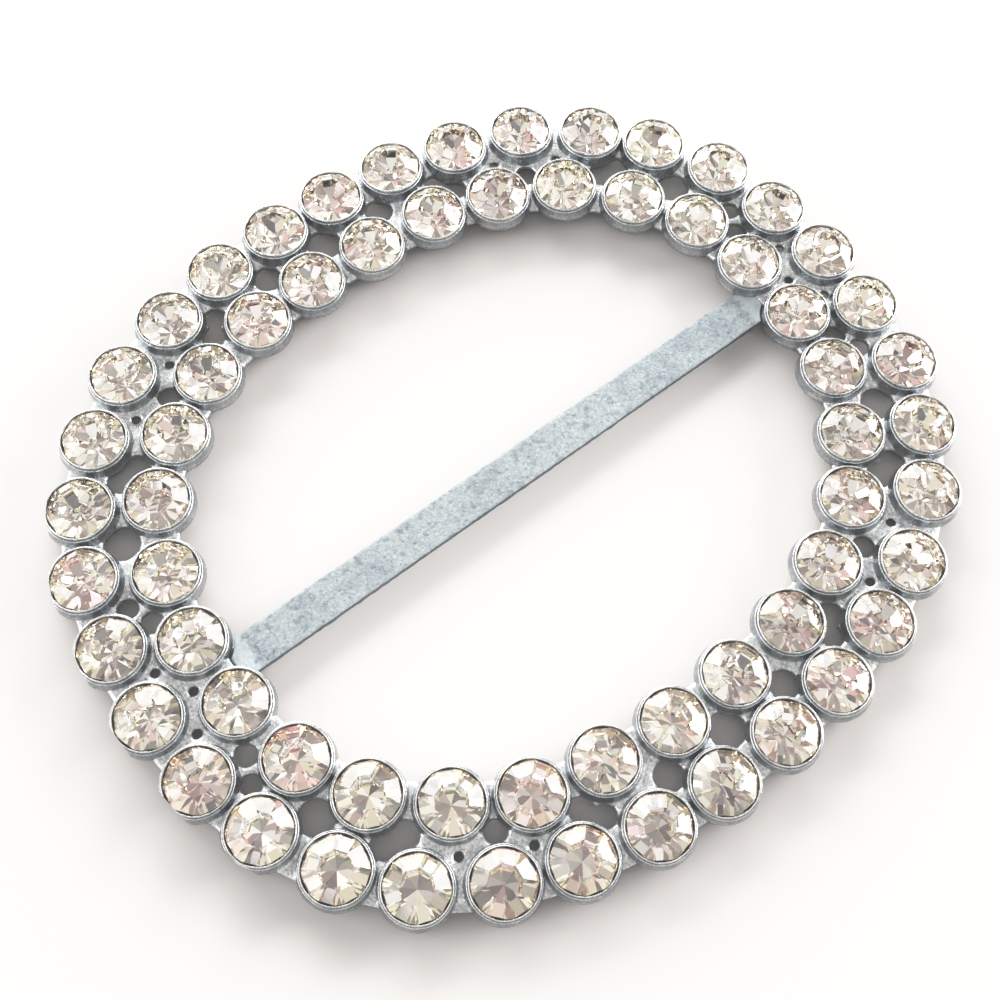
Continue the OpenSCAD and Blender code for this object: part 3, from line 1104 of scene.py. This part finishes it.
# The place in the list of the curve that works on all three colours at once
ALL_COLOURS = 3


def photo_camera(scene, stage, eye, aim):
    """The camera, level but for its roll."""
    forward = (aim - eye).normalized()
    level = forward.cross(Vector((0, 0, 1))).normalized()
    upright = level.cross(forward)
    right = level * math.cos(stage.roll) - upright * math.sin(stage.roll)
    up = right.cross(forward)
    data = bpy.data.cameras.new("Camera")
    data.sensor_width, data.lens = SENSOR_WIDTH, stage.lens
    data.clip_start, data.clip_end = NEAREST, FARTHEST
    scene.camera = put("Camera", data)
    scene.camera.matrix_world = Matrix.Translation(eye) @ Matrix((right, up, -forward)).transposed().to_4x4()


def pale_floor(stage):
    """A plain sheet with a barely uneven tone."""
    half, colour = stage.floor_width / 2, list(stage.floor_colour)
    corners = [(-half, -half, 0), (half, -half, 0), (half, half, 0), (-half, half, 0)]
    mesh = new_mesh("floor", corners, [(0, 1, 2, 3)])
    material, nodes, shader = new_material("pale_floor")
    tone = speckle(nodes, object_place(nodes), per_mm=0.018, detail=2.0, roughness=0.5)
    tone = ramp(nodes, tone, [(0.3, toned(colour, 0.98)), (0.7, colour)])
    set_inputs(nodes, shader, base_color=tone, roughness=0.7)
    mesh.materials.append(material)
    return put("floor", mesh)


def room_light(scene, strength, toward_camera):
    """A bright room that the stones and the metal mirror as patches, darker near the camera."""
    world = bpy.data.worlds.new("Room")
    world.use_nodes = True
    world.node_tree.nodes.clear()
    nodes = Nodes(world.node_tree)
    way = nodes.out("ShaderNodeTexCoord", take="Generated")
    patches = ramp(nodes, nodes.split(cells(nodes, way, ROOM_PATCHES, "Color"))["X"], ROOM_TONES, "CONSTANT")
    level = Vector((toward_camera.x, toward_camera.y, 0)).normalized()
    along = nodes.math("MULTIPLY_ADD", nodes.along(way, level), 1 / DARK_DEPTH, -DARK_PLACE / DARK_DEPTH)
    across = nodes.times(nodes.along(way, level.cross((0, 0, 1))), 1 / DARK_WIDTH)
    off_centre = nodes.vector("LENGTH", nodes.joined(along, across, 0.0), take="Value")
    shade = ramp(nodes, off_centre, [(0.0, 1.0), (0.94, 1.0), (1.0, 0.0)])
    seen = mixed(nodes, shade, patches, DARK_TONE)
    rays = nodes.add("ShaderNodeLightPath").outputs
    seen = mixed(nodes, rays["Is Diffuse Ray"], seen, DULL_TONE)
    seen = mixed(nodes, rays["Is Camera Ray"], seen, SEEN_TONE)
    background = nodes.out("ShaderNodeBackground", {"Color": seen, "Strength": strength})
    nodes.add("ShaderNodeOutputWorld", {"Surface": background})
    scene.world = world


def area_light(name, colour, stage):
    """A wide soft lamp that looks at the middle of the ring, as the stage's settings of its name say."""
    power, width, bearing, height = (
        getattr(stage, f"{name}_{part}") for part in ("power", "width", "bearing", "height"))
    data = bpy.data.lights.new(name, "AREA")
    data.shape, data.size, data.size_y = "RECTANGLE", width, stage.lamp_rise
    data.energy, data.color = power, colour
    lamp = put(name, data)
    level = math.cos(height)
    way = Vector((math.sin(bearing) * level, math.cos(bearing) * level, math.sin(height)))
    lamp.location = way * stage.lamp_distance
    lamp.rotation_euler = way.to_track_quat("Z", "Y").to_euler()


def deep_reflections(scene):
    """Lets light bounce often enough between the foiled facets, so that no facet goes black."""
    scene.cycles.glossy_bounces = MIRROR_BOUNCES


def soft_highlights(scene):
    """A plain tone curve with grey shadows and highlights that roll off towards white."""
    view = scene.view_settings
    view.view_transform = "Standard"
    view.use_curve_mapping = True
    view.curve_mapping.white_level = WHITE_LEVEL
    curve = view.curve_mapping.curves[ALL_COLOURS]
    curve.points[0].location = TONE_START
    for place, level in TONE_POINTS:
        curve.points.new(place, level)
    view.curve_mapping.update()


class SLIDE_OT_stage(bpy.types.Operator):
    """Set up the camera, the pale floor and the soft light"""

    bl_idname = "slide.stage"
    bl_label = "Stage"

    def execute(self, context):
        scene, stage = context.scene, context.scene.slide_stage
        eye, aim = Vector(stage.eye), Vector(stage.aim)
        photo_camera(scene, stage, eye, aim)
        pale_floor(stage)
        room_light(scene, stage.surround, eye - aim)
        for name, colour in LAMP_COLOURS.items():
            area_light(name, colour, stage)
        deep_reflections(scene)
        soft_highlights(scene)
        return {"FINISHED"}


class SLIDE_PT_panel(bpy.types.Panel):
    """Lists the pieces of the scarf slide in the order in which they are built"""

    bl_label = "Scarf slide"
    bl_idname = "SLIDE_PT_panel"
    bl_space_type = "VIEW_3D"
    bl_region_type = "UI"
    bl_category = "Scarf slide"

    def draw(self, context):
        for operator in OPERATORS:
            self.layout.operator(operator.bl_idname)


OPERATORS = (SLIDE_OT_cups, SLIDE_OT_web, SLIDE_OT_bar, SLIDE_OT_stones, SLIDE_OT_stage)
SETTINGS = {
    "slide_cups": CupSettings,
    "slide_web": WebSettings,
    "slide_bar": BarSettings,
    "slide_stones": StoneSettings,
    "slide_stage": StageSettings,
}


def register():
    for kind in (*SETTINGS.values(), *OPERATORS, SLIDE_PT_panel):
        bpy.utils.register_class(kind)
    for name, kind in SETTINGS.items():
        setattr(bpy.types.Scene, name, PointerProperty(type=kind))


def unregister():
    for name in SETTINGS:
        delattr(bpy.types.Scene, name)
    for kind in reversed((*SETTINGS.values(), *OPERATORS, SLIDE_PT_panel)):
        bpy.utils.unregister_class(kind)


def main():
    register()
    bpy.ops.slide.cups()
    bpy.ops.slide.web()
    bpy.ops.slide.bar()
    bpy.ops.slide.stones()
    bpy.ops.slide.stage()
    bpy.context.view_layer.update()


if __name__ == "__main__":
    main()
